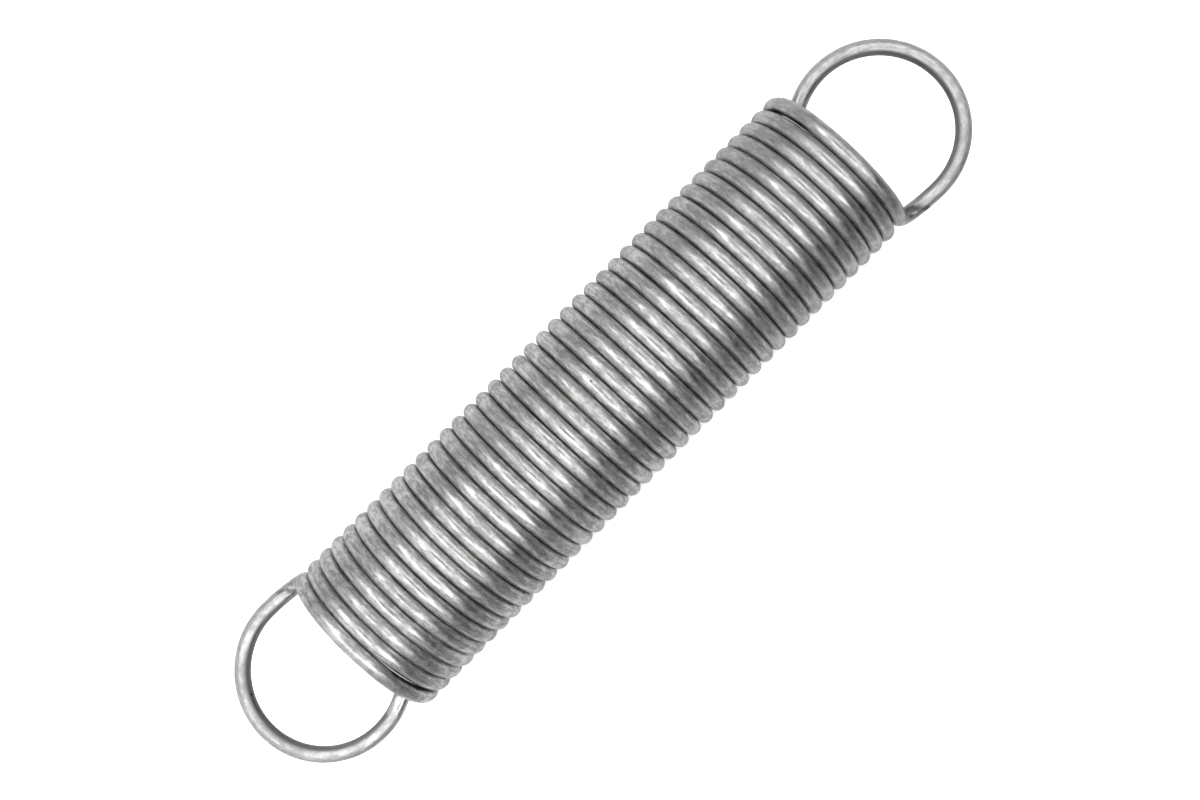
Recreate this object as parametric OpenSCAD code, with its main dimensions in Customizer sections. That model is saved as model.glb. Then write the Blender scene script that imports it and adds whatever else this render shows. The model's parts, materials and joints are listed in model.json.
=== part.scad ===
// Extension spring, close wound from one length of round wire, with a full loop at each end.
//
// The coil lies along X and rests on Z = 0, with the middle of its length over the origin.
// Both loops lie flat, at the height of the coil's axis.
// The wire follows a chain of circular arcs, each starting in the direction in which the last ends.

/* [Wire] */
// Diameter of the wire
wire_d = 2.5; // [1.5:0.1:3.5]
// How much thinner the wire is in the sharp bend beside each loop
bend_thinning = 0.05; // [0.04:0.01:0.2]

/* [Coil] */
// Outside diameter of the coil
coil_od = 27.5; // [22:0.5:36]
// Number of turns, to the half turn
turns = 39.5; // [5:0.5:60]
// Gap between neighbouring turns
turn_gap = 0.05; // [0.02:0.01:2]

/* [End loops] */
// Inside diameter of a loop
loop_id = 22.5; // [18:0.5:28]
// Distance from the last turn to the far inside of its loop
loop_reach = 17.6; // [14.6:0.1:22]
// Inside radius of the sharp bend between the coil and a loop
bend_inside_r = 1.3; // [0.5:0.1:2.5]
// Angle at which the wire leaves that bend, away from the coil's axis
shank_lean = 9; // [4:1:15]
// Clearance between the cut end of a loop and the last turn
tip_gap = 0.3; // [0.1:0.1:3]

/* [Hidden] */
$fn = 64;

wire_r = wire_d / 2;
coil_r = coil_od / 2 - wire_r;
loop_r = loop_id / 2 + wire_r;
bend_r = bend_inside_r + wire_r;

// To the nearest thousandth, so that arcs that share an end meet exactly
function thousandths(size) = round(size * 1000) / 1000;

// The coil is made of half turns, which lean to the left and to the right in turn.
// A half turn takes the wire one step along X, and a lean of half a step at each end does that.
half_turns = round(2 * turns);
half_step = (wire_d + turn_gap) / 4;
coil_length = half_turns * 2 * half_step;
turn_lean = asin(half_step / coil_r);

// The wire leaves the last half turn a little early, so that the bend brings it out at the
// height of the coil's axis. The place where it leaves and the angle of the bend depend on each
// other, so the two are solved by repetition, from a first guess of 10 degrees.
leave_lean = shank_lean + turn_lean;
function bend_angle_at(early) = acos(sin(early) * sin(leave_lean));
function settle(early, rounds) =
    rounds == 0 ? early : settle(atan(bend_r * tan(bend_angle_at(early) / 2) / coil_r), rounds - 1);
early = thousandths(settle(10, 12));
bend_angle = bend_angle_at(early);
bend_leg = bend_r * tan(bend_angle / 2);
bend_roll = atan2(-cos(leave_lean), sin(leave_lean) * cos(early));

// Where the bend ends, outwards along X from the last turn's centre and across from the axis
bend_end_x = bend_leg * (sin(early) * sin(turn_lean) + cos(shank_lean)) - half_step * (1 - cos(early));
bend_end_y = coil_r * cos(early) * cos(turn_lean)
    + bend_leg * (sin(early) * cos(turn_lean) + sin(shank_lean));

// The loop's centre, and the shank: an arc from the bend that joins the loop at its widest point
loop_x = loop_reach + 2 * wire_r - loop_r;
shank_r = thousandths((loop_x - bend_end_x) / sin(shank_lean));
loop_y = thousandths(bend_end_y + shank_r * (1 - cos(shank_lean)) - loop_r);

// The loop runs on past its half circle until its cut end is near the turn on the far side
far_turn_face = wire_r - 2 * half_step;
loop_angle = 180 + asin((loop_x - far_turn_face - tip_gap) / (loop_r + wire_r));

// The thinner wire of the bend reaches this many degrees into the wire at either side
bend_seat = 3;

// Wire bent to an arc about Z, from one angle to another
module wire_arc(radius, from, to, diameter = wire_d) {
    rotate_extrude(start = from, angle = to - from)
        translate([radius, 0])
            circle(d = diameter);
}

// Puts its children in the plane of one half turn, with their X towards the turn's Y end
module half_turn_plane(index) {
    upper = index % 2 == 0;
    translate([(index + 0.5) * 2 * half_step - coil_length / 2, 0, 0])
        rotate([0, 0, upper ? turn_lean : -turn_lean])
            rotate([90, 0, 90])
                children();
}

module coil() {
    for (index = [0 : half_turns - 1]) {
        begin = index % 2 == 0 ? 0 : 180;
        late_start = index == 0 ? early : 0;
        early_end = index == half_turns - 1 ? early : 0;
        half_turn_plane(index)
            wire_arc(coil_r, begin + late_start, begin + 180 - early_end);
    }
}

// The sharp bend at the coil's low end in X, which turns the wire from the coil out into the loop
module sharp_bend() {
    half_turn_plane(0)
        rotate([0, 0, early])
            translate([coil_r, 0, 0])
                rotate([bend_roll, 0, -90])
                    translate([0, bend_r, 0])
                        wire_arc(
                            bend_r, -90 - bend_seat, bend_angle - 90 + bend_seat,
                            wire_d - bend_thinning
                        );
}

// The loop at the coil's low end in X, with its shank
module end_loop() {
    translate([-coil_length / 2 - loop_x, 0, 0]) {
        translate([0, loop_y + loop_r - shank_r, 0])
            wire_arc(shank_r, 90 - shank_lean, 90);
        translate([0, loop_y, 0])
            wire_arc(loop_r, 90, 90 + loop_angle);
    }
}

// An odd number of half turns ends opposite to where it began, and an even number on the same side
module spring() {
    far_end = half_turns % 2 == 1 ? [0, 0, 180] : [0, 180, 0];
    color("silver")
        translate([0, 0, coil_od / 2]) {
            coil();
            for (end = [[0, 0, 0], far_end])
                rotate(end) {
                    sharp_bend();
                    end_loop();
                }
        }
}

spring();
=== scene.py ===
"""Dresses a close-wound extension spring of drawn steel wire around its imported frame.

The spring is one length of round wire. Its middle is a coil whose turns touch, and at each end a
sharp bend brings the wire out into a full loop, which lies flat at the height of the coil's axis.
The wire's centreline is worked out first, as a chain of stations, and the surface is swept along
it. Lengths are in millimetres and angles in degrees until a mesh, a light or a camera is made.
"""

import json
import logging
import math
from dataclasses import dataclass, field
from enum import Enum

import bpy
import numpy as np
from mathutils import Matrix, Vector


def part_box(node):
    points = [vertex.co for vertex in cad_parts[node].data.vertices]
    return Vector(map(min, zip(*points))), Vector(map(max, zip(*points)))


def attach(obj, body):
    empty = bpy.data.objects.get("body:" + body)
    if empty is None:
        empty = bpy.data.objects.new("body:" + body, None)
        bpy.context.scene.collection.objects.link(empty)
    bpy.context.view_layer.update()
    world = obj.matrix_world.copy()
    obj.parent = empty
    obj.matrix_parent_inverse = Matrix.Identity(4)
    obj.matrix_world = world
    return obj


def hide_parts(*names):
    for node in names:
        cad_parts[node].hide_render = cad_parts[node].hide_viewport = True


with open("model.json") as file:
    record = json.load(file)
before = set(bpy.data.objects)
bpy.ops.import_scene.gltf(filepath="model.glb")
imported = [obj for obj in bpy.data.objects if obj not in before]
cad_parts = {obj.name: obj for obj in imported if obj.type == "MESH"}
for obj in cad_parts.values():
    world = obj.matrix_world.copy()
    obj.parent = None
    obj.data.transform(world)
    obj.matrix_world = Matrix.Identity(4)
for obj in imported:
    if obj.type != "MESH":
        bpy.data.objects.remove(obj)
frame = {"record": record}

log = logging.getLogger("extension_spring")

MM = 0.001
FULL_TURN = 2 * math.pi
SMALL_ANGLE = 0.001
UP = np.array([0.0, 0.0, 1.0])

Pair = tuple[float, float]
Place = tuple[float, float, float]
Tint = tuple[float, float, float]
Socket = bpy.types.NodeSocket
Tree = bpy.types.NodeTree
Groups = dict[str, Tree]
FLOAT, VECTOR = "NodeSocketFloat", "NodeSocketVector"
NOISE_ROUGHNESS = 0.55


class CoilEnd(Enum):
    """The two ends of the coil, each with the sign of the X axis on its side."""

    LOW_X = -1
    HIGH_X = 1


def smooth_wave(places: np.ndarray, wavelength: float, seed: int) -> np.ndarray:
    """Gives a smooth, seeded wave without a period that shows, between -1 and 1.

    Args:
        places: Where the wave is read, in the units of the wavelength.
        wavelength: The shortest distance from crest to crest.
        seed: The seed of the wave's phases.

    Returns:
        The wave's height at each place.
    """
    draw = np.random.default_rng(seed)
    stretches = np.array([1.0, 1.37, 1.93, 2.71])
    phases = draw.uniform(0, FULL_TURN, len(stretches))
    waves = np.sin(np.outer(places, FULL_TURN / (wavelength * stretches)) + phases)
    return waves.mean(axis=1)


def unit(vector: np.ndarray) -> np.ndarray:
    """Gives the vector at a length of one, row by row if there are several."""
    return vector / np.linalg.norm(vector, axis=-1, keepdims=True)


def mirrored(vector: np.ndarray, normal: np.ndarray) -> np.ndarray:
    """Gives the vector mirrored in the plane that the normal stands on."""
    return vector - normal * (2 * float(normal @ vector) / float(normal @ normal))


def put_in_scene(name: str, data: bpy.types.ID) -> bpy.types.Object:
    """Makes an object and puts it in the scene.

    Args:
        name: The object's name.
        data: Its mesh, light or camera.

    Returns:
        The new object.
    """
    made = bpy.data.objects.new(name, data)
    bpy.context.scene.collection.objects.link(made)
    return made


@dataclass(frozen=True)
class SpringSizes:
    """The sizes that the whole spring is worked out from.

    The wire's diameter, the turns and the bend are the spring's own driving sizes. The rest is
    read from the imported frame.
    """

    coil_outside_radius: float
    axis_height: float
    loop_centre: Pair
    loop_outside_radius: float
    wire: float = 2.5
    turns: float = 39.5
    turn_gap: float = 0.05
    bend_inside_radius: float = 1.3
    shank_lean: float = 9.0
    tip_gap: float = 0.3

    @classmethod
    def from_frame(cls) -> "SpringSizes":
        """Reads the coil's and the loops' sizes from the CAD node's box and the record's mounts.

        Returns:
            The sizes of the whole spring.
        """
        low, high = (np.array(corner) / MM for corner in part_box("spring"))
        mounts = {mount["name"]: mount["pos_m"] for mount in frame["record"]["mounts"]}
        centre = np.array(mounts["loop_high_x"]) / MM
        return cls(
            coil_outside_radius=(high[2] - low[2]) / 2,
            axis_height=(high[2] + low[2]) / 2,
            loop_centre=(centre[0], centre[1]),
            loop_outside_radius=high[0] - centre[0],
        )

    @property
    def wire_radius(self) -> float:
        """Radius of the wire."""
        return self.wire / 2

    @property
    def coil_radius(self) -> float:
        """Radius of the coil at the middle of the wire."""
        return self.coil_outside_radius - self.wire_radius

    @property
    def loop_radius(self) -> float:
        """Radius of a loop at the middle of the wire."""
        return self.loop_outside_radius - self.wire_radius

    @property
    def pitch(self) -> float:
        """Distance from one turn to the next."""
        return self.wire + self.turn_gap

    @property
    def half_sweep(self) -> float:
        """Angle that the wire turns through from the coil's middle to its end, in radians."""
        return self.turns * math.pi


@dataclass
class Coil:
    """The close-wound body of the spring.

    Its centreline is a right-hand helix about X. A real winding isn't quite even, so the gap
    between the turns and the coil's radius wander a little, the last turns at each end are drawn
    together, and the very last one springs outwards on the side away from its bend.
    """

    sizes: SpringSizes
    rings_per_turn: int = 90
    gap_wander: float = 0.75
    gap_wavelength_turns: float = 1.3
    radius_ease: float = 0.035
    radius_wavelength_turns: float = 0.83
    end_lift: float = 0.24
    end_lift_centre: float = 143.0
    end_lift_spread: float = 30.0
    drawn_in: float = 0.2
    drawn_in_turns: float = 5.0
    even_half_turns: float = 0.5
    drift_steps: int = 4000
    seed: int = 39

    def drift(self, sweep: np.ndarray) -> np.ndarray:
        """Gives how far the wire strays along X from an even winding.

        Args:
            sweep: Angles about the coil's axis, in radians, counted from the coil's middle.

        Returns:
            The offset along X at each angle.
        """
        grid = np.linspace(-self.sizes.half_sweep, self.sizes.half_sweep, self.drift_steps + 1)
        uneven = smooth_wave(grid / FULL_TURN, self.gap_wavelength_turns, self.seed)
        half_turns_left = (self.sizes.half_sweep - np.abs(grid)) / math.pi
        settled = np.clip(half_turns_left - self.even_half_turns, 0, 1)
        uneven *= settled
        # With nothing left in the sum, the wandering gaps don't change the coil's length
        uneven -= settled * uneven.sum() / settled.sum()
        rate = self.gap_wander * self.sizes.turn_gap * uneven / FULL_TURN
        strayed = np.concatenate([[0.0], np.cumsum((rate[1:] + rate[:-1]) / 2 * np.diff(grid))])
        return np.interp(sweep, grid, strayed) + self.lift(sweep) - self.pull(sweep)

    def lift(self, sweep: np.ndarray) -> np.ndarray:
        """Gives how far the last turn at each end stands out along X, away from its neighbour."""
        off_centre = np.degrees(self.sizes.half_sweep - np.abs(sweep)) - self.end_lift_centre
        return self.end_lift * np.exp(-((off_centre / self.end_lift_spread) ** 2)) * np.sign(sweep)

    def pull(self, sweep: np.ndarray) -> np.ndarray:
        """Gives how far the last turns at each end are drawn in along X, towards the middle."""
        turns_left = (self.sizes.half_sweep - np.abs(sweep)) / FULL_TURN
        return self.drawn_in * np.clip(1 - turns_left / self.drawn_in_turns, 0, 1) * np.sign(sweep)

    def radius(self, sweep: np.ndarray) -> np.ndarray:
        """Gives the centreline's radius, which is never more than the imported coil's."""
        wave = smooth_wave(sweep / FULL_TURN, self.radius_wavelength_turns, self.seed + 1)
        return self.sizes.coil_radius - self.radius_ease * (1 + wave) / 2

    def points(self, sweep: np.ndarray) -> np.ndarray:
        """Gives the centreline's points at these angles.

        Args:
            sweep: Angles about the coil's axis, in radians, counted from the coil's middle.

        Returns:
            One row of X, Y and Z for each angle.
        """
        radius = self.radius(sweep)
        along = self.sizes.pitch / FULL_TURN * sweep + self.drift(sweep)
        height = self.sizes.axis_height - radius * np.cos(sweep)
        return np.stack([along, radius * np.sin(sweep), height], axis=1)

    def heading(self, sweep: float) -> np.ndarray:
        """Gives the direction in which the wire runs at one angle."""
        nearby = self.points(np.array([sweep - SMALL_ANGLE, sweep + SMALL_ANGLE]))
        return unit(nearby[1] - nearby[0])


@dataclass
class EndLoop:
    """One end of the spring: the sharp bend, the shank and the loop with its cut tip.

    It is worked out for the high-X end. The low-X end is the same shape after a half turn about
    the vertical axis, because the coil has an odd number of half turns.
    """

    sizes: SpringSizes
    coil: Coil
    end: CoilEnd
    bend_rings: int = 34
    shank_rings: int = 14
    loop_rings: int = 104
    loop_ease: float = 0.05
    loop_wavelength: float = 2.1
    loop_settling_share: float = 1 / 6
    latest_leave: float = 30.0
    halvings: int = 40
    seed: int = 7

    def turned(self, points: np.ndarray) -> np.ndarray:
        """Gives the points as they are at this end, a half turn about Z for the low-X end."""
        sign = self.end.value
        return points * np.array([sign, sign, 1.0])

    def bend(self, leave: float) -> np.ndarray:
        """Works out the sharp bend that starts where the wire leaves the coil.

        Args:
            leave: Angle short of the coil's end at which the wire leaves it, in radians.

        Returns:
            The bend's points.
        """
        sweep = self.end.value * (self.sizes.half_sweep - leave)
        start = self.turned(self.coil.points(np.array([sweep])))[0]
        heading = self.turned(self.coil.heading(sweep) * self.end.value)
        lean = math.radians(self.sizes.shank_lean)
        onward = np.array([math.cos(lean), -math.sin(lean), 0.0])
        radius = self.sizes.bend_inside_radius + self.sizes.wire_radius
        inward = unit(onward - heading * float(heading @ onward))
        angles = np.linspace(0, math.acos(float(heading @ onward)), self.bend_rings)[:, None]
        return start + radius * (np.sin(angles) * heading + (1 - np.cos(angles)) * inward)

    def leave_angle(self) -> float:
        """Finds by halving where the wire leaves the coil, so that its bend ends at axis height.

        Returns:
            The angle short of the coil's end, in radians.
        """
        low, high = 0.0, math.radians(self.latest_leave)
        for _ in range(self.halvings):
            middle = (low + high) / 2
            ends_above = self.bend(middle)[-1][2] > self.sizes.axis_height
            low, high = (low, middle) if ends_above else (middle, high)
        return (low + high) / 2

    def shank(self, start: np.ndarray) -> np.ndarray:
        """Gives the gentle arc from the bend's end to the widest point of the loop.

        Args:
            start: The point where the bend ends.

        Returns:
            The arc's points.
        """
        lean = math.radians(self.sizes.shank_lean)
        widest_x = self.sizes.loop_centre[0]
        widest_y = self.sizes.loop_centre[1] - self.sizes.loop_radius
        share = np.linspace(0, 1, self.shank_rings)
        angles = lean * (1 - share)
        radius = (widest_x - start[0]) / math.sin(lean)
        along = start[0] + radius * (math.sin(lean) - np.sin(angles))
        across = start[1] - radius * (np.cos(angles) - math.cos(lean))
        across += (widest_y - across[-1]) * share
        return np.stack([along, across, np.full_like(along, self.sizes.axis_height)], axis=1)

    def loop(self) -> np.ndarray:
        """Gives the loop, from its widest point round to the cut tip beside the far-side turn.

        Returns:
            The loop's points, a little out of round except where it begins.
        """
        centre_x, centre_y = self.sizes.loop_centre
        coil_end_x = self.sizes.pitch * self.sizes.turns / 2
        turn_face_x = coil_end_x - self.sizes.pitch / 2 + self.sizes.wire_radius - self.coil.drawn_in
        rise = (centre_x - turn_face_x - self.sizes.tip_gap) / self.sizes.loop_outside_radius
        sweep = math.pi + math.asin(rise)
        angles = np.linspace(0, sweep, self.loop_rings) - math.pi / 2
        out_of_round = smooth_wave(angles, self.loop_wavelength, self.seed + self.end.value)
        settled = np.clip(np.linspace(0, 1 / self.loop_settling_share, self.loop_rings), 0, 1)
        radius = self.sizes.loop_radius - self.loop_ease * settled * (1 + out_of_round) / 2
        along, across = centre_x + radius * np.cos(angles), centre_y + radius * np.sin(angles)
        return np.stack([along, across, np.full_like(along, self.sizes.axis_height)], axis=1)

    def points(self) -> np.ndarray:
        """Gives the whole end's centreline, from the coil out to the cut tip."""
        bend = self.bend(self.leave_angle())
        return self.turned(np.concatenate([bend, self.shank(bend[-1])[1:], self.loop()[1:]]))


@dataclass(frozen=True)
class Dent:
    """A place where a tool pressed or rubbed the wire, between two points near its surface."""

    start: Place
    end: Place
    reach: float
    depth: float

    def sunk(self, points: np.ndarray) -> np.ndarray:
        """Gives how deep the dent is at each point.

        Args:
            points: One row of X, Y and Z for each point.

        Returns:
            The depth at each point, which is nothing beyond the dent's reach.
        """
        start, end = np.array(self.start), np.array(self.end)
        run = end - start
        share = np.clip((points - start) @ run / float(run @ run), 0, 1)[:, None]
        away = np.linalg.norm(points - start - share * run, axis=1) / self.reach
        near = np.clip(1 - away, 0, 1)
        return self.depth * near * near * (3 - 2 * near)


BEND_MARKS = (
    Dent((52.6, -13.0, 14.9), (54.5, -14.2, 14.0), reach=0.9, depth=0.04),
    Dent((-54.6, 13.9, 14.5), (-53.5, 13.6, 14.7), reach=0.6, depth=0.10),
    Dent((-53.0, 13.3, 14.8), (-52.7, 12.2, 15.0), reach=0.7, depth=0.12),
)
RUB_MARKS = (
    Dent((-55.2, -10.2, 15.0), (-52.6, -10.2, 15.0), reach=0.9, depth=0.10),
    Dent((-64.8, 11.5, 15.1), (-63.6, 12.2, 15.1), reach=0.7, depth=0.04),
    Dent((-70.1, 3.2, 15.1), (-70.2, 1.2, 15.1), reach=0.7, depth=0.04),
)
TURN_MARKS = (
    Dent((48.0, 5.9, 25.1), (48.0, 5.5, 25.4), reach=0.4, depth=0.14),
    Dent((1.34, 1.66, 27.4), (1.34, 1.5, 27.4), reach=0.3, depth=0.08),
)


@dataclass
class Wire:
    """The surface of the whole spring, swept round one centreline from tip to tip."""

    sizes: SpringSizes
    line: np.ndarray
    sides: int = 24
    tip_chamfer: float = 0.12
    marks: tuple[Dent, ...] = BEND_MARKS + RUB_MARKS + TURN_MARKS
    straight_limit: float = 1e-12
    map_columns: int = 2
    map_rows: int = 21
    map_side_inset: float = 0.03
    map_end_inset: float = 0.01
    map_strip_slack: float = 1.02
    map_tip_places: Pair = (0.25, 0.75)
    map_tip_share: float = 0.8
    run: np.ndarray = field(init=False)

    def __post_init__(self) -> None:
        """Measures the distance from the first tip to each station."""
        steps = np.linalg.norm(np.diff(self.line, axis=0), axis=1)
        self.run = np.concatenate([[0.0], np.cumsum(steps)])

    def tangents(self) -> np.ndarray:
        """Gives the direction of the wire at each station."""
        steps = unit(np.diff(self.line, axis=0))
        return np.concatenate([steps[:1], unit(steps[1:] + steps[:-1]), steps[-1:]])

    def frames(self) -> tuple[np.ndarray, np.ndarray]:
        """Carries a pair of cross directions along the wire without any twist about it.

        Returns:
            The two directions across the wire at each station.
        """
        tangents = self.tangents()
        across = np.empty_like(self.line)
        across[0] = unit(UP - tangents[0] * float(UP @ tangents[0]))
        # Two mirrorings carry the direction from one station to the next
        for index in range(1, len(self.line)):
            step = self.line[index] - self.line[index - 1]
            carried = mirrored(across[index - 1], step)
            rest = tangents[index] - mirrored(tangents[index - 1], step)
            across[index] = mirrored(carried, rest) if rest @ rest > self.straight_limit else carried
        return across, np.cross(tangents, across)

    def rings(self) -> tuple[np.ndarray, np.ndarray]:
        """Works out the rings of vertices round the wire, with the marks pressed in.

        Returns:
            The vertices as stations by sides by three, and their places on the wire made straight.
        """
        first, second = self.frames()
        angles = FULL_TURN * np.arange(self.sides) / self.sides
        cosines, sines = np.cos(angles), np.sin(angles)
        outward = cosines[:, None] * first[:, None] + sines[:, None] * second[:, None]
        ring = self.line[:, None] + self.sizes.wire_radius * outward
        flat = ring.reshape(-1, 3)
        depth = sum(mark.sunk(flat) for mark in self.marks).reshape(ring.shape[:2])
        ring = ring - outward * depth[:, :, None]
        place = np.empty_like(ring)
        place[:, :, 0] = self.sizes.wire_radius * cosines
        place[:, :, 1] = self.sizes.wire_radius * sines
        place[:, :, 2] = self.run[:, None]
        return ring, place

    def tips(self, ring: np.ndarray) -> tuple[np.ndarray, np.ndarray]:
        """Rounds the edge of each cut tip and adds the middle of its face.

        Args:
            ring: The rings of vertices, whose first and last are changed in place.

        Returns:
            The two edge rings of the flat faces, and the two middles.
        """
        tangents = self.tangents()
        middles = self.line[[0, -1]]
        narrowing = 1 - self.tip_chamfer / self.sizes.wire_radius
        edges = middles[:, None] + (ring[[0, -1]] - middles[:, None]) * narrowing
        ring[0] += tangents[0] * self.tip_chamfer
        ring[-1] -= tangents[-1] * self.tip_chamfer
        return edges, middles

    def map_strips(self) -> tuple[np.ndarray, float]:
        """Splits the wire into strips of equal length, for the unrolled map.

        Returns:
            The strip that each stretch between two stations belongs to, and the length that a
            strip has room for.
        """
        length = self.run[-1] / (self.map_columns * (self.map_rows - 1))
        return np.floor(self.run[:-1] / length).astype(int), length * self.map_strip_slack

    def unrolled(self) -> np.ndarray:
        """Lays the wire out flat, strip beside strip.

        Returns:
            The place on the map of each corner of each side face.
        """
        strips, length = self.map_strips()
        stations, sides = len(self.line) - 1, self.sides
        starts = np.array([self.run[:-1][strips == s].min() for s in range(strips.max() + 1)])
        corner_stations = np.array([0, 0, 1, 1])
        corner_sides = np.array([0, 1, 1, 0])
        run = self.run[np.arange(stations)[:, None] + corner_stations]
        along = self.inset((run - starts[strips][:, None]) / length, self.map_end_inset)
        around = (np.arange(sides)[:, None] + corner_sides) / sides
        around = self.inset(around, self.map_side_inset)
        column, row = strips % self.map_columns, strips // self.map_columns
        map_u = (column[:, None] + along) / self.map_columns
        map_v = (row[:, None, None] + around[None]) / self.map_rows
        map_u = np.broadcast_to(map_u[:, None], (stations, sides, 4))
        return np.stack([map_u, map_v], axis=-1).reshape(-1, 2)

    @staticmethod
    def inset(shares: np.ndarray, margin: float) -> np.ndarray:
        """Draws shares from 0 to 1 in by a margin at either end."""
        return margin + (1 - 2 * margin) * shares

    def faces(self) -> list[tuple[int, ...]]:
        """Lists the vertices of each face: the walls, then the rims of both tips, then their fans.

        Returns:
            The faces, of which the last four for each side belong to the tips.
        """
        stations, sides = len(self.line), self.sides
        around = np.arange(sides)
        following = np.roll(around, -1)
        first_edge = stations * sides
        last_edge, first_middle = first_edge + sides, first_edge + 2 * sides
        last_ring = first_edge - sides
        starts = (np.arange(stations - 1) * sides)[:, None]
        bands = [(starts, starts + sides), (first_edge, 0), (last_ring, last_edge)]
        quads = [
            np.stack([a + around, a + following, b + following, b + around], axis=-1).reshape(-1, 4)
            for a, b in bands
        ]
        faces = [tuple(quad) for quad in np.concatenate(quads).tolist()]
        faces += [(first_middle, first_edge + j, first_edge + i) for i, j in zip(around, following)]
        faces += [(first_middle + 1, last_edge + i, last_edge + j) for i, j in zip(around, following)]
        return faces

    def build(self) -> bpy.types.Object:
        """Makes the wire's mesh, with its place attribute and its unrolled map.

        Returns:
            The new object, whose side faces use material slot 0 and whose cut faces use slot 1.
        """
        ring, place = self.rings()
        edges, middles = self.tips(ring)
        vertices = np.concatenate([ring.reshape(-1, 3), edges.reshape(-1, 3), middles])
        faces = self.faces()
        mesh = bpy.data.meshes.new("spring_wire")
        mesh.from_pydata((vertices * MM).tolist(), [], faces)
        cut_faces = 4 * self.sides
        cut = np.arange(len(faces)) >= len(faces) - cut_faces
        mesh.polygons.foreach_set("use_smooth", ~cut)
        mesh.polygons.foreach_set("material_index", cut.astype(np.int32))
        self.add_place(mesh, place)
        self.add_map(mesh, cut_faces)
        mesh.validate()
        mesh.update()
        return put_in_scene("spring_wire", mesh)

    def add_place(self, mesh: bpy.types.Mesh, place: np.ndarray) -> None:
        """Stores each vertex's place on the wire made straight, which the draw lines follow.

        Args:
            mesh: The wire's mesh.
            place: The place of each ring's vertices, as stations by sides by three.
        """
        rims = place[[0, -1]].reshape(-1, 3)
        middles = np.array([[0, 0, 0], [0, 0, self.run[-1]]], float)
        values = np.concatenate([place.reshape(-1, 3), rims, middles])
        layer = mesh.attributes.new("wire_place", "FLOAT_VECTOR", "POINT")
        layer.data.foreach_set("vector", values.astype(np.float32).ravel())

    def add_map(self, mesh: bpy.types.Mesh, cut_faces: int) -> None:
        """Adds the unrolled map, with the cut faces gathered in the top row.

        Args:
            mesh: The wire's mesh.
            cut_faces: How many of its last faces belong to the two tips.
        """
        layer = mesh.uv_layers.new(name="OFBake")
        corners = np.zeros((len(mesh.loops), 2), np.float32)
        walls = self.unrolled()
        corners[: len(walls)] = walls
        vertex = np.zeros(len(mesh.loops), np.int32)
        mesh.loops.foreach_get("vertex_index", vertex)
        points = np.zeros(len(mesh.vertices) * 3, np.float32)
        mesh.vertices.foreach_get("co", points)
        points = points.reshape(-1, 3)
        first, second = self.frames()
        top_row = (self.map_rows - 0.5) / self.map_rows
        for face in list(mesh.polygons)[-cut_faces:]:
            high = face.center.x > 0
            index = -1 if high else 0
            start = np.array([self.map_tip_places[high], top_row])
            for loop in face.loop_indices:
                offset = points[vertex[loop]] - self.line[index] * MM
                place = np.array([offset @ first[index], offset @ second[index]])
                place /= self.sizes.wire * MM
                corners[loop] = start + place * self.map_tip_share / self.map_rows
        layer.data.foreach_set("uv", corners.ravel())


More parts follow.
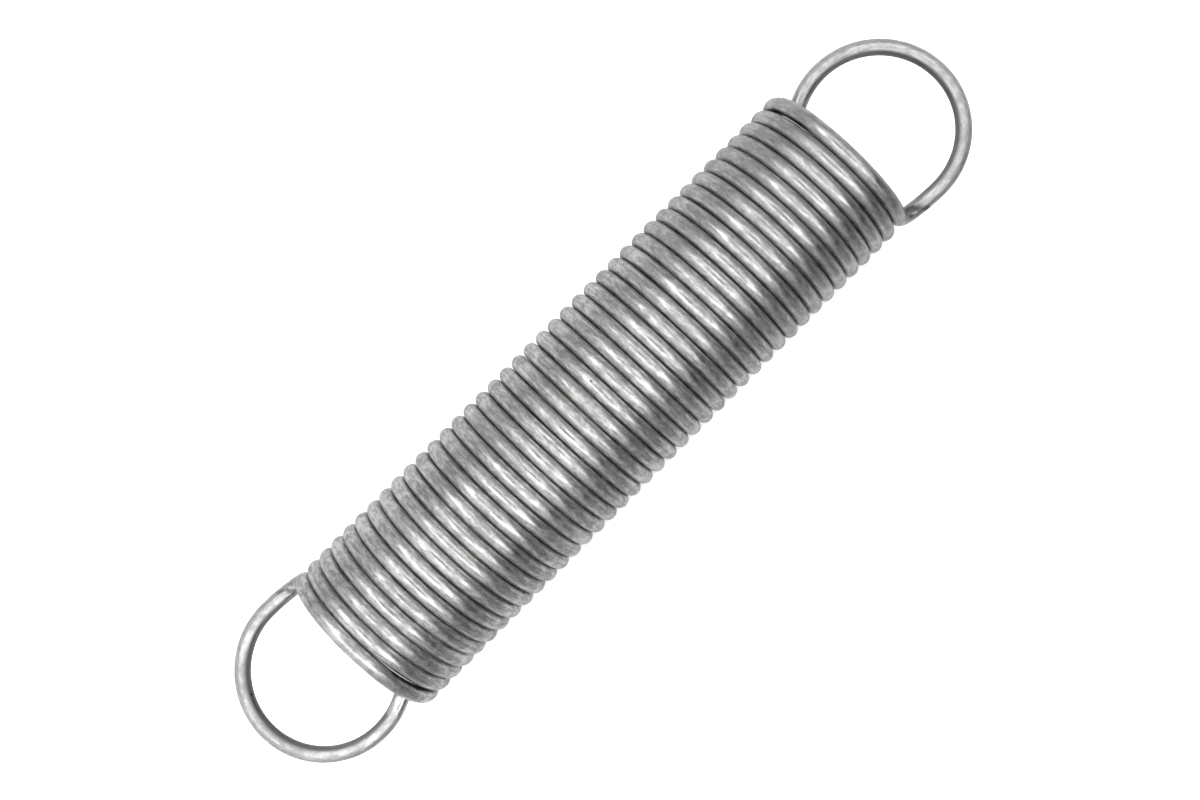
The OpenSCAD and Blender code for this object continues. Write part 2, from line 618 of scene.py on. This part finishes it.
class Nodes:
    """A short way to add nodes to one node tree and link them.

    In a node group, source and result are the group's own input and output nodes.
    """

    def __init__(self, tree: Tree) -> None:
        """Keeps the tree and empties it."""
        self.tree = tree
        self.source: bpy.types.Node | None = None
        self.result: bpy.types.Node | None = None
        tree.nodes.clear()

    def add(self, kind: str, **settings: object) -> bpy.types.Node:
        """Adds one node.

        Args:
            kind: The node's type name, without the leading ShaderNode.
            **settings: Properties of the node.

        Returns:
            The new node.
        """
        prefix = "" if kind.startswith("NodeGroup") else "ShaderNode"
        node = self.tree.nodes.new(prefix + kind)
        for name, value in settings.items():
            setattr(node, name, value)
        return node

    def feed(self, node: bpy.types.Node, **inputs: object) -> bpy.types.Node:
        """Sets or links inputs of a node, by name with spaces as underscores, or as in_0 and so on.

        Args:
            node: The node whose inputs are set.
            **inputs: A number, a tuple or another node's output socket for each.

        Returns:
            The same node.
        """
        for name, value in inputs.items():
            key = int(name[3:]) if name.startswith("in_") else name.replace("_", " ")
            socket = node.inputs[key]
            if isinstance(value, Socket):
                self.tree.links.new(value, socket)
            else:
                socket.default_value = value
        return node

    def group(self, tree: Tree, **inputs: object) -> bpy.types.bpy_prop_collection:
        """Adds a node group with these inputs and gives its outputs."""
        return self.feed(self.add("Group", node_tree=tree), **inputs).outputs

    def math(self, operation: str, *values: Socket | float, clamp: bool = False) -> Socket:
        """Adds a Math node on numbers or sockets and gives its output."""
        node = self.add("Math", operation=operation, use_clamp=clamp)
        return self.feed(node, **{f"in_{index}": value for index, value in enumerate(values)}).outputs[0]

    def vector(self, operation: str, *values: object, output: str = "Vector") -> Socket:
        """Adds a Vector Math node.

        Args:
            operation: The node's operation.
            *values: A vector, a number or a socket for each of its inputs.
            output: Which output is wanted, Vector or Value.

        Returns:
            That output.
        """
        node = self.add("VectorMath", operation=operation)
        for index, value in enumerate(values):
            # The Scale input comes after all three vectors
            key = 3 if operation == "SCALE" and index == 1 else index
            self.feed(node, **{f"in_{key}": value})
        return node.outputs[output]

    def split(self, vector: Socket) -> tuple[Socket, ...]:
        """Gives a vector's X, Y and Z."""
        return tuple(self.feed(self.add("SeparateXYZ"), Vector=vector).outputs)

    def joined(self, x: Socket, y: Socket, z: Socket | float = 0.0) -> Socket:
        """Gives the vector that has this X, Y and Z."""
        return self.feed(self.add("CombineXYZ"), X=x, Y=y, Z=z).outputs[0]

    def place_mm(self) -> Socket:
        """Gives the place on the object, in millimetres."""
        return self.vector("SCALE", self.add("TexCoord").outputs["Object"], 1 / MM)

    def noise(self, place: Socket, scale: float, detail: float) -> Socket:
        """Adds a noise texture on a place and gives its value."""
        settings = {"Scale": scale, "Detail": detail, "Roughness": NOISE_ROUGHNESS}
        return self.feed(self.add("TexNoise"), Vector=place, **settings).outputs["Fac"]

    def spread(self, value: Socket, span: Pair, result: Pair = (0.0, 1.0)) -> Socket:
        """Maps a value smoothly from one span to another, held at both ends.

        Args:
            value: The value.
            span: The two values that map to the ends of the result.
            result: The ends of the result.

        Returns:
            The mapped value.
        """
        ends = dict(zip(("From_Min", "From_Max", "To_Min", "To_Max"), (*span, *result)))
        node = self.add("MapRange", interpolation_type="SMOOTHSTEP")
        return self.feed(node, Value=value, **ends).outputs["Result"]

    def mixed(self, share: Socket, first: Socket | Tint, second: Socket | Tint) -> Socket:
        """Mixes two colours.

        Args:
            share: How much of the second colour there is, from 0 to 1.
            first: The first colour.
            second: The second colour.

        Returns:
            The mixed colour.
        """
        mix = self.add("Mix", data_type="RGBA")
        ends = [(*end, 1.0) if isinstance(end, tuple) else end for end in (first, second)]
        return self.feed(mix, in_0=share, in_6=ends[0], in_7=ends[1]).outputs[2]


def new_group(name: str, inputs: dict[str, float | Place], *outputs: str) -> Nodes:
    """Makes an empty shader node group with named sockets.

    Args:
        name: The group's name.
        inputs: The default of each input, a number or a vector, by name.
        *outputs: The names of its outputs, which are all numbers.

    Returns:
        The group's nodes, with its input and output nodes added.
    """
    tree = bpy.data.node_groups.new(name, "ShaderNodeTree")
    nodes = Nodes(tree)
    for title, value in inputs.items():
        kind = VECTOR if isinstance(value, tuple) else FLOAT
        tree.interface.new_socket(name=title, in_out="INPUT", socket_type=kind).default_value = value
    for title in outputs:
        tree.interface.new_socket(name=title, in_out="OUTPUT", socket_type=FLOAT)
    nodes.source = nodes.add("NodeGroupInput")
    nodes.result = nodes.add("NodeGroupOutput")
    return nodes


def draw_lines_group() -> Tree:
    """Builds the lengthwise lines that the drawing die leaves on a wire.

    Returns:
        A group that puts out the lines' tone, their height, a fine grain and a coarser mottle.
    """
    broad_share, fine_share = 0.6, 0.4
    grain_stretch = 0.35
    defaults = {"Lines per mm": 2.4, "Stretch": 0.03}
    nodes = new_group("draw_lines", defaults, "Tone", "Height", "Grain", "Mottle")
    inputs = nodes.source.outputs
    x, y, run = nodes.split(nodes.add("Attribute", attribute_name="wire_place").outputs["Vector"])
    line_place = nodes.joined(x, y, nodes.math("MULTIPLY", run, inputs["Stretch"]))
    line_place = nodes.vector("SCALE", line_place, inputs["Lines per mm"])
    broad = nodes.noise(line_place, scale=1.0, detail=3.0)
    fine = nodes.noise(line_place, scale=3.7, detail=2.0)
    tone = nodes.math("MULTIPLY", broad, broad_share)
    tone = nodes.math("MULTIPLY_ADD", fine, fine_share, tone)
    grain_place = nodes.joined(x, y, nodes.math("MULTIPLY", run, grain_stretch))
    grain = nodes.noise(grain_place, scale=5.5, detail=2.0)
    mottle = nodes.noise(grain_place, scale=2.3, detail=3.0)
    nodes.feed(nodes.result, Tone=tone, Height=fine, Grain=grain, Mottle=mottle)
    return nodes.tree


def patina_group() -> Tree:
    """Builds the cloudy dulling and small dark specks that stored steel takes on.

    Returns:
        A group that puts out the clouds and the specks as masks.
    """
    speck_edge = (0.66, 0.74)
    patch_edge = (0.42, 0.6)
    nodes = new_group("patina", {"Cloud size mm": 2.2, "Speck share": 0.5}, "Cloud", "Specks")
    inputs = nodes.source.outputs
    place = nodes.place_mm()
    per_mm = nodes.math("DIVIDE", 1.0, inputs["Cloud size mm"])
    cloud = nodes.noise(nodes.vector("SCALE", place, per_mm), scale=1.0, detail=4.0)
    specks = nodes.spread(nodes.noise(place, scale=2.6, detail=2.0), speck_edge)
    patches = nodes.spread(nodes.noise(place, scale=0.21, detail=1.0), patch_edge)
    specks = nodes.math("MULTIPLY", specks, patches)
    specks = nodes.math("MULTIPLY", specks, inputs["Speck share"], clamp=True)
    nodes.feed(nodes.result, Cloud=cloud, Specks=specks)
    return nodes.tree


def hook_wear_and_dark_inner_side_group(centre: Pair, radius: float) -> Tree:
    """Builds the masks for wire that a hook rubs clean, and for the inner side of each loop, which is
    tinted darker.

    Args:
        centre: X and Y of the high-X loop's middle. The low-X loop is a half turn away.
        radius: The loop's radius at the middle of the wire.

    Returns:
        A group that puts out both masks.
    """
    coil_to_loop = (52.2, 55.2)
    inner_side = (0.2, 1.0)
    defaults = {"Centre": (*centre, 0.0), "Radius": radius}
    nodes = new_group("hook_wear_and_dark_inner_side", defaults, "Worn", "Sheltered")
    inputs = nodes.source.outputs
    x, y, _ = nodes.split(nodes.place_mm())
    along = nodes.math("ABSOLUTE", x)
    turned = nodes.joined(along, nodes.math("MULTIPLY", y, nodes.math("SIGN", x)))
    offset = nodes.vector("SUBTRACT", turned, inputs["Centre"])
    inset = nodes.math("SUBTRACT", inputs["Radius"], nodes.vector("LENGTH", offset, output="Value"))
    worn = nodes.spread(along, coil_to_loop)
    # The inner side of each loop, which the material tints darker
    dark_inner_side = nodes.math("MULTIPLY", nodes.spread(inset, inner_side), worn)
    nodes.feed(nodes.result, Worn=worn, Sheltered=dark_inner_side)
    return nodes.tree


def line_mark_group() -> Tree:
    """Builds a mask round the line between two points, with a ragged edge.

    Returns:
        A group that puts out the mask, one on the line and zero beyond its width.
    """
    edge = (0.35, 1.0)
    defaults = {"Start": (0.0, 0.0, 0.0), "End": (1.0, 0.0, 0.0), "Width": 0.5, "Raggedness": 0.35}
    nodes = new_group("line_mark", defaults, "Mask")
    inputs = nodes.source.outputs
    place = nodes.place_mm()
    offset = nodes.vector("SUBTRACT", place, inputs["Start"])
    run = nodes.vector("SUBTRACT", inputs["End"], inputs["Start"])
    reached = nodes.vector("DOT_PRODUCT", offset, run, output="Value")
    whole = nodes.vector("DOT_PRODUCT", run, run, output="Value")
    nearest = nodes.vector("SCALE", run, nodes.math("DIVIDE", reached, whole, clamp=True))
    away = nodes.vector("LENGTH", nodes.vector("SUBTRACT", offset, nearest), output="Value")
    # The noise, brought to run from -1 to 1, moves the edge in and out
    ragged = nodes.math("MULTIPLY_ADD", nodes.noise(place, scale=2.4, detail=3.0), 2.0, -1.0)
    ragged = nodes.math("MULTIPLY", ragged, inputs["Raggedness"])
    away = nodes.math("ADD", away, nodes.math("MULTIPLY", ragged, inputs["Width"]))
    away = nodes.math("DIVIDE", away, inputs["Width"])
    nodes.feed(nodes.result, Mask=nodes.spread(away, edge, (1.0, 0.0)))
    return nodes.tree


@dataclass(frozen=True)
class LineMark:
    """A dark or bright mark on the wire's surface, between two points. Most are scars and rubs; the ones
    along the gaps at the coil's ends are painted shade.
    """

    start: Place
    end: Place
    width: float
    strength: float


DARK_SCARS = (
    LineMark((52.0, -12.5, 15.0), (52.9, -13.1, 14.9), width=0.7, strength=0.8),
    LineMark((52.7, -13.0, 14.9), (54.5, -14.1, 14.1), width=0.8, strength=1.0),
    LineMark((-54.6, 13.92, 14.5), (-53.5, 13.57, 14.7), width=0.5, strength=0.55),
    LineMark((-53.3, 13.4, 14.8), (-52.7, 12.5, 15.0), width=0.55, strength=0.8),
    LineMark((-52.7, 12.5, 15.0), (-53.2, 11.9, 14.8), width=0.55, strength=0.85),
    LineMark((-54.1, 12.7, 15.0), (-53.0, 12.7, 15.0), width=0.9, strength=0.4),
    LineMark((-44.7, 9.5, 23.7), (-44.2, 8.9, 24.1), width=0.13, strength=0.6),
    LineMark((-44.9, 9.0, 24.0), (-44.4, 8.5, 24.3), width=0.13, strength=0.5),
    LineMark((-68.3, 6.4, 14.4), (-68.1, 6.0, 14.4), width=0.3, strength=0.8),
    LineMark((1.34, 1.66, 27.4), (1.34, 1.5, 27.4), width=0.24, strength=0.9),
    LineMark((48.1, 5.9, 25.1), (48.1, 5.5, 25.4), width=0.34, strength=0.9),
)
# Painted shade: dark strips in the gap between the last turn at each end and its neighbour
GAP_PAINTED_SHADE = (
    LineMark((-48.1, -7.6, 24.1), (-47.95, -11.1, 20.15), width=0.8, strength=0.85),
    LineMark((-47.95, -11.1, 20.15), (-47.8, -12.7, 15.5), width=0.8, strength=0.85),
    LineMark((48.1, 6.4, 24.8), (47.95, 11.1, 20.15), width=0.8, strength=0.85),
    LineMark((47.95, 11.1, 20.15), (47.8, 12.7, 15.5), width=0.8, strength=0.85),
)
BRIGHT_SCARS = (
    LineMark((-55.0, -10.1, 15.0), (-52.8, -10.1, 15.0), width=0.8, strength=0.8),
    LineMark((-50.6, 9.95, 23.1), (-50.5, 9.8, 23.2), width=0.22, strength=0.9),
)


def new_material(name: str) -> tuple[bpy.types.Material, Nodes]:
    """Makes an empty material.

    Args:
        name: The material's name.

    Returns:
        The material and its nodes.
    """
    material = bpy.data.materials.new(name)
    material.use_nodes = True
    return material, Nodes(material.node_tree)


def add_steel(nodes: Nodes, tint: Socket, roughness: Socket | float, height_mm: Socket) -> None:
    """Adds a bare steel shader to a material, and the material's output.

    Args:
        nodes: The material's nodes.
        tint: The steel's colour.
        roughness: The steel's roughness.
        height_mm: The relief of its face, in millimetres.
    """
    bump = nodes.feed(nodes.add("Bump"), Height=height_mm, Distance=MM, Strength=1.0)
    shader = nodes.add("BsdfPrincipled")
    nodes.feed(shader, Base_Color=tint, Roughness=roughness, Normal=bump.outputs[0], Metallic=1.0)
    nodes.feed(nodes.add("OutputMaterial"), Surface=shader.outputs[0])


def line_marks_mask(nodes: Nodes, group: Tree, marks: tuple[LineMark, ...]) -> Socket:
    """Joins several line marks, the scars and the painted shade, into one mask, where the strongest
    counts.

    Args:
        nodes: The material's nodes.
        group: The node group of one line mark.
        marks: The line marks.

    Returns:
        The mask.
    """
    joined: Socket | float = 0.0
    for mark in marks:
        mark_mask = nodes.group(group, Start=mark.start, End=mark.end, Width=mark.width)
        joined = nodes.math("MAXIMUM", joined, nodes.math("MULTIPLY", mark_mask["Mask"], mark.strength))
    return joined


@dataclass(frozen=True)
class DrawnSteel:
    """The satin face of cold-drawn spring wire, a little clouded by handling.

    The coil is painted darker towards its high-X end, as painted shade for the dimmer light there, and
    the loops are worn and tinted darker on their inner side.
    """

    name: str = "drawn_steel"
    dull_tint: Tint = (0.36, 0.36, 0.355)
    clean_tint: Tint = (0.70, 0.70, 0.69)
    worn_dull_tint: Tint = (0.45, 0.45, 0.445)
    worn_tint: Tint = (0.66, 0.66, 0.65)
    # Darker tint for the inner side of the loops
    sheltered_tint: Tint = (0.29, 0.29, 0.285)
    # Dark tint of the specks and scars, and of the painted shade in the end gaps
    scar_tint: Tint = (0.10, 0.10, 0.10)
    bright_tint: Tint = (0.88, 0.88, 0.87)
    line_share: float = 0.3
    mottle_share: float = 0.3
    grain_share: float = 0.15
    cloud_share: float = 0.15
    long_cloud_share: float = 0.1
    long_cloud_mm: float = 9.0
    clean_span: Pair = (0.43, 0.57)
    smooth_span: Pair = (0.35, 0.65)
    smooth_roughness: float = 0.25
    dull_roughness: float = 0.44
    grain_roughness: float = 0.08
    worn_roughness: float = 0.12
    # Painted shade: the coil's tint darkens towards the high-X end, where the light is dimmer
    high_x_shade_span: Pair = (5.0, 45.0)
    high_x_dulling: float = 0.4
    line_height_mm: float = 0.012
    grain_height_mm: float = 0.008
    speck_depth_mm: float = 0.01

    def material(self, groups: Groups) -> bpy.types.Material:
        """Builds the material.

        Args:
            groups: The shared node groups, by name.

        Returns:
            The finished material.
        """
        material, nodes = new_material(self.name)
        lines = nodes.group(groups["draw_lines"])
        patina = nodes.group(groups["patina"])
        long_patina = nodes.group(groups["patina"], Cloud_size_mm=self.long_cloud_mm)
        hook = nodes.group(groups["hook_wear_and_dark_inner_side"])
        # Dark scars, and painted shade in the gaps at the coil's ends
        dark = line_marks_mask(nodes, groups["line_mark"], DARK_SCARS + GAP_PAINTED_SHADE)
        bright = line_marks_mask(nodes, groups["line_mark"], BRIGHT_SCARS)

        tone: Socket | float = 0.0
        for part, share in (
            (lines["Tone"], self.line_share),
            (lines["Mottle"], self.mottle_share),
            (lines["Grain"], self.grain_share),
            (patina["Cloud"], self.cloud_share),
            (long_patina["Cloud"], self.long_cloud_share),
        ):
            tone = nodes.math("MULTIPLY_ADD", part, share, tone)
        clean = nodes.spread(tone, self.clean_span)
        tint = nodes.mixed(clean, self.dull_tint, self.clean_tint)
        x, _, _ = nodes.split(nodes.place_mm())
        # Painted shade towards the high-X end, for the dimmer light there
        painted_high_x_shade = nodes.spread(x, self.high_x_shade_span, (0.0, self.high_x_dulling))
        tint = nodes.mixed(painted_high_x_shade, tint, self.dull_tint)
        rubbed = nodes.mixed(clean, self.worn_dull_tint, self.worn_tint)
        for mask, over in (
            (hook["Worn"], rubbed),
            # Darker tint on the inner side of the loops
            (hook["Sheltered"], self.sheltered_tint),
            (patina["Specks"], self.scar_tint),
            (bright, self.bright_tint),
            (dark, self.scar_tint),
        ):
            tint = nodes.mixed(mask, tint, over)

        roughnesses = (self.dull_roughness, self.smooth_roughness)
        roughness = nodes.spread(patina["Cloud"], self.smooth_span, roughnesses)
        roughness = nodes.math("MULTIPLY_ADD", lines["Grain"], self.grain_roughness, roughness)
        roughness = nodes.math("MULTIPLY_ADD", hook["Worn"], self.worn_roughness, roughness)

        height = nodes.math("MULTIPLY", lines["Height"], self.line_height_mm)
        height = nodes.math("MULTIPLY_ADD", lines["Grain"], self.grain_height_mm, height)
        height = nodes.math("MULTIPLY_ADD", patina["Specks"], -self.speck_depth_mm, height)
        add_steel(nodes, tint, roughness, height)
        return material


@dataclass(frozen=True)
class ShearedSteel:
    """The bare face that the cutter leaves at each tip of the wire."""

    name: str = "sheared_steel"
    torn_tint: Tint = (0.34, 0.34, 0.33)
    cut_tint: Tint = (0.62, 0.62, 0.61)
    tear_size_mm: float = 0.5
    cut_span: Pair = (0.4, 0.6)
    roughness: float = 0.42
    tear_height_mm: float = 0.03

    def material(self, groups: Groups) -> bpy.types.Material:
        """Builds the material.

        Args:
            groups: The shared node groups, by name.

        Returns:
            The finished material.
        """
        material, nodes = new_material(self.name)
        tears = nodes.group(groups["patina"], Cloud_size_mm=self.tear_size_mm)["Cloud"]
        tint = nodes.mixed(nodes.spread(tears, self.cut_span), self.torn_tint, self.cut_tint)
        add_steel(nodes, tint, self.roughness, nodes.math("MULTIPLY", tears, self.tear_height_mm))
        return material


@dataclass(frozen=True)
class PaleBoard:
    """The plain pale board that the spring lies on, whose colour is darker towards its low-Y side.

    It has a painted glow, seen only by the camera, that lifts it to white over the spring's shadow. The
    glow is left out under the spring, and the board can be seen through from below, so that it never
    hides the spring.
    """

    name: str = "pale_board"
    shade: float = 0.78
    shade_spread: float = 0.03
    cloud_size_mm: float = 40.0
    roughness: float = 0.9
    gloss: float = 0.1
    dim_side: Pair = (-60.0, -26.0)
    dim_side_share: float = 0.3
    shadow_end: Pair = (53.0, 55.0)
    shadow_side: Pair = (10.5, 15.0)

    def material(self, groups: Groups) -> bpy.types.Material:
        """Builds the material, with a faint cloud in its shade.

        Args:
            groups: The shared node groups, by name.

        Returns:
            The finished material.
        """
        material, nodes = new_material(self.name)
        cloud = nodes.group(groups["patina"], Cloud_size_mm=self.cloud_size_mm)["Cloud"]
        dark, light = [(self.shade + sign * self.shade_spread,) * 3 for sign in (-1, 1)]
        tint = nodes.mixed(cloud, dark, light)
        x, y, _ = nodes.split(nodes.place_mm())
        # The board's colour is darker towards its low-Y side
        low_y_tone = nodes.spread(y, self.dim_side, (self.dim_side_share, 1.0))
        # Where the painted glow is left out: a box under the spring in which its shadow shows
        past_end = nodes.spread(nodes.math("ABSOLUTE", x), self.shadow_end)
        past_side = nodes.spread(nodes.math("ABSOLUTE", y), self.shadow_side)
        seen = nodes.add("LightPath").outputs["Is Camera Ray"]
        from_below = nodes.math("MULTIPLY", seen, nodes.add("NewGeometry").outputs["Backfacing"])
        shader = nodes.add("BsdfPrincipled")
        nodes.feed(
            shader,
            Base_Color=nodes.vector("SCALE", tint, low_y_tone),
            Roughness=self.roughness,
            Specular_IOR_Level=self.gloss,
            Emission_Color=tint,
            # Painted light: a glow for camera rays only, which covers the spring's shadow beyond that
            # box
            Emission_Strength=nodes.math("MULTIPLY", seen, nodes.math("MAXIMUM", past_end, past_side)),
            Alpha=nodes.math("SUBTRACT", 1.0, from_below),
        )
        nodes.feed(nodes.add("OutputMaterial"), Surface=shader.outputs[0])
        return material


@dataclass
class Spring:
    """The whole spring: one wire through the low-X loop, the coil and the high-X loop."""

    sizes: SpringSizes

    def centreline(self) -> np.ndarray:
        """Joins the two ends and the coil into one line, from tip to tip.

        Returns:
            One row of X, Y and Z for each station.
        """
        coil = Coil(self.sizes)
        low = EndLoop(self.sizes, coil, CoilEnd.LOW_X)
        high = EndLoop(self.sizes, coil, CoilEnd.HIGH_X)
        start = low.leave_angle() - self.sizes.half_sweep
        finish = self.sizes.half_sweep - high.leave_angle()
        steps = round((finish - start) / FULL_TURN * coil.rings_per_turn)
        winding = coil.points(np.linspace(start, finish, steps + 1))
        log.info("coil: %.1f turns, %d stations", self.sizes.turns, len(winding))
        for loop in (low, high):
            log.info("end loop %s: %d stations", loop.end.name, len(loop.points()))
        return np.concatenate([low.points()[::-1], winding[1:-1], high.points()])

    def build(self, groups: Groups) -> bpy.types.Object:
        """Builds the wire and dresses it.

        Args:
            groups: The shared node groups, by name.

        Returns:
            The finished wire.
        """
        wire = Wire(self.sizes, self.centreline()).build()
        wire.data.materials.append(DrawnSteel().material(groups))
        wire.data.materials.append(ShearedSteel().material(groups))
        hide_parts("spring")
        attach(wire, "root")
        log.info("%s: %d faces", wire.name, len(wire.data.polygons))
        return wire


@dataclass(frozen=True)
class Softbox:
    """A soft rectangular light that faces straight down."""

    name: str
    place: Place
    width: float
    length: float
    brightness: float

    def build(self) -> None:
        """Adds the light, with a power that gives its face the wanted brightness."""
        light = bpy.data.lights.new(self.name, "AREA")
        light.shape = "RECTANGLE"
        light.size, light.size_y = self.width * MM, self.length * MM
        light.energy = self.brightness * math.pi * light.size * light.size_y
        lamp = put_in_scene(self.name, light)
        lamp.location = Vector(self.place) * MM
        lamp.visible_camera = False


@dataclass(frozen=True)
class Studio:
    """The board, the lights, the surroundings and the camera."""

    board_size: float = 4000.0
    softboxes: tuple[Softbox, ...] = (
        Softbox("softbox_low_x", (-215.0, -70.0, 460.0), 130.0, 680.0, 3.1),
        Softbox("softbox_high_x", (235.0, -70.0, 460.0), 130.0, 680.0, 2.2),
        Softbox("softbox_high_y", (-30.0, 300.0, 460.0), 280.0, 200.0, 3.3),
        Softbox("softbox_low_y", (-30.0, -410.0, 460.0), 280.0, 340.0, 3.1),
        Softbox("fill_low_x", (-480.0, -40.0, 459.0), 400.0, 760.0, 0.55),
        Softbox("fill_high_x", (480.0, -40.0, 459.0), 360.0, 760.0, 0.4),
    )
    surround_shade: float = 0.44
    dark_side: tuple[float, float, float] = (0.36, -0.92, 0.14)
    dark_side_span: Pair = (0.6, 0.96)
    dark_side_depth: float = 0.9
    x_side_span: Pair = (0.5, 0.95)
    x_side_shades: Pair = (2.2, 1.05)
    backdrop_shade: float = 0.93
    camera_place: Place = (3.996, -23.34, 250.245)
    camera_tilt: Pair = (5.666, 0.932)
    camera_roll: float = -45.252
    camera_clip: Pair = (10.0, 20000.0)
    lens: float = 47.658

    def board(self, groups: Groups) -> None:
        """Lays the board under the spring.

        Args:
            groups: The shared node groups, by name.
        """
        half = self.board_size / 2 * MM
        corners = [(-half, -half, 0.0), (half, -half, 0.0), (half, half, 0.0), (-half, half, 0.0)]
        mesh = bpy.data.meshes.new("board")
        mesh.from_pydata(corners, [], [(0, 1, 2, 3)])
        mesh.materials.append(PaleBoard().material(groups))
        put_in_scene("board", mesh)

    def surroundings(self) -> None:
        """Sets a grey room, darker on the low-Y side, behind a plain pale backdrop."""
        world = bpy.data.worlds.new("studio_room")
        world.use_nodes = True
        nodes = Nodes(world.node_tree)
        direction = nodes.add("TexCoord").outputs["Generated"]
        x, _, _ = nodes.split(direction)
        nearness = nodes.vector("DOT_PRODUCT", direction, self.dark_side, output="Value")
        shade = nodes.spread(nearness, self.dark_side_span, (1.0, 1 - self.dark_side_depth))
        for sign, side_shade in zip((-1.0, 1.0), self.x_side_shades):
            side = nodes.spread(nodes.math("MULTIPLY", x, sign), self.x_side_span, (1.0, side_shade))
            shade = nodes.math("MULTIPLY", shade, side)
        shade = nodes.math("MULTIPLY", shade, self.surround_shade)
        seen = nodes.add("LightPath").outputs["Is Camera Ray"]
        mix = nodes.add("Mix", data_type="FLOAT")
        nodes.feed(mix, in_0=seen, in_2=shade, in_3=self.backdrop_shade)
        background = nodes.feed(nodes.add("Background"), Color=mix.outputs[0])
        nodes.feed(nodes.add("OutputWorld"), Surface=background.outputs[0])
        bpy.context.scene.world = world

    def camera(self) -> None:
        """Sets the camera above the spring, looking almost straight down."""
        data = bpy.data.cameras.new("camera")
        data.lens = self.lens
        data.clip_start, data.clip_end = (distance * MM for distance in self.camera_clip)
        camera = put_in_scene("camera", data)
        camera.rotation_mode = "ZYX"
        camera.rotation_euler = [math.radians(a) for a in (*self.camera_tilt, self.camera_roll)]
        camera.location = Vector(self.camera_place) * MM
        bpy.context.scene.camera = camera

    def build(self, groups: Groups) -> None:
        """Builds the whole studio.

        Args:
            groups: The shared node groups, by name.
        """
        bpy.context.scene.view_settings.view_transform = "Standard"
        self.board(groups)
        for softbox in self.softboxes:
            softbox.build()
        self.surroundings()
        self.camera()
        log.info("studio: board, %d softboxes, surroundings and camera", len(self.softboxes))


def main() -> None:
    logging.basicConfig(level=logging.INFO, format="%(name)s: %(message)s")
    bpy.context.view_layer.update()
    sizes = SpringSizes.from_frame()
    groups = {
        "draw_lines": draw_lines_group(),
        "hook_wear_and_dark_inner_side": hook_wear_and_dark_inner_side_group(sizes.loop_centre, sizes.loop_radius),
        "patina": patina_group(),
        "line_mark": line_mark_group(),
    }
    Spring(sizes).build(groups)
    Studio().build(groups)


if __name__ == "__main__":
    main()
